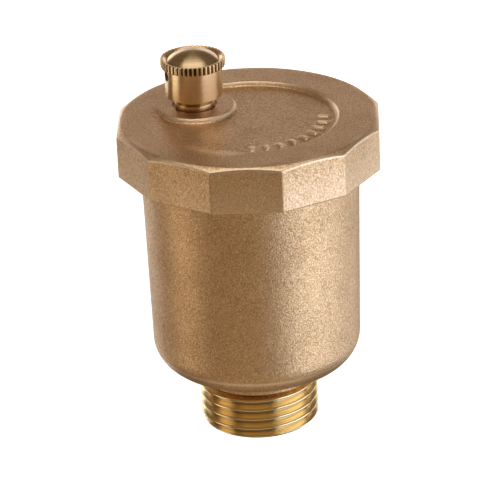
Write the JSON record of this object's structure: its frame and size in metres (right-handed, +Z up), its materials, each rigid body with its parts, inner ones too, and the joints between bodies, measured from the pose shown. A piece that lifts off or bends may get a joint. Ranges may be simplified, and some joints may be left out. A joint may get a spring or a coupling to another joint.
{
  "type": "automatic air vent",
  "caption": "Float-operated automatic air vent: round brass body with a threaded inlet, twelve-sided screw lid, and an off-centre valve with a knurled vent cap.",
  "frame": {"origin": "centre of the inlet thread's end face, on the body's axis", "axes": "+Z up along the body's axis, from the inlet thread to the lid; -Y is the front, where a flat of the lid nearly faces"},
  "size_m": [0.0454, 0.0454, 0.068],
  "materials": {
    "cast_brass": "blasted casting, fine grain",
    "machined_brass": "turned, bright",
    "stainless": "rolled sheet and drawn wire",
    "black_rubber": "moulded, matt",
    "red_fibre": "pressed fibre, matt",
    "float_plastic": "moulded, satin"
  },
  "bodies": {
    "housing": {"body": "cast_brass", "lid": "cast_brass", "lid_oring": "black_rubber", "valve_nozzle": "machined_brass", "nozzle_gasket": "red_fibre", "lever_bracket": "stainless", "bracket_nut": "machined_brass", "pivot_pin": "stainless", "pivot_clip": "stainless", "valve_spring": "stainless"},
    "float": {"float_lower": "float_plastic", "float_upper": "float_plastic", "float_clevis": "float_plastic", "link_pin": "stainless", "link_clip": "stainless"},
    "lever": {"lever": "stainless"},
    "stem": {"valve_stem": "machined_brass", "valve_pad": "black_rubber", "stem_clip": "stainless"},
    "cap_lift": {"cap_seal": "black_rubber"},
    "cap": {"vent_cap": "machined_brass"}
  },
  "joints": [
    {"name": "float_rise", "type": "slide", "parent": "housing", "child": "float", "axis": [0, 0, 1], "range_m": [0, 0.0043]},
    {"name": "lever_swing", "type": "hinge", "parent": "housing", "child": "lever", "pos_m": [-0.01172, 0.00802, 0.04336], "axis": [-0.565, -0.8251, 0], "range_deg": [0, 17.41]},
    {"name": "stem_rise", "type": "slide", "parent": "housing", "child": "stem", "axis": [0, 0, 1], "range_m": [0, 0.00094], "deforming": ["valve_spring"]},
    {"name": "cap_rise", "type": "slide", "parent": "housing", "child": "cap_lift", "axis": [0, 0, 1], "range_m": [0, 0.0016]},
    {"name": "cap_turn", "type": "hinge", "parent": "cap_lift", "child": "cap", "pos_m": [-0.00916, 0.00627, 0.05965], "axis": [0, 0, 1], "range_deg": [0, 721]}
  ],
  "couplings": [
    {"joint": "lever_swing", "follows": "float_rise", "rad_per_m": 70.694},
    {"joint": "stem_rise", "follows": "float_rise", "ratio": 0.21831},
    {"joint": "cap_turn", "follows": "cap_rise", "rad_per_m": 7854}
  ]
}
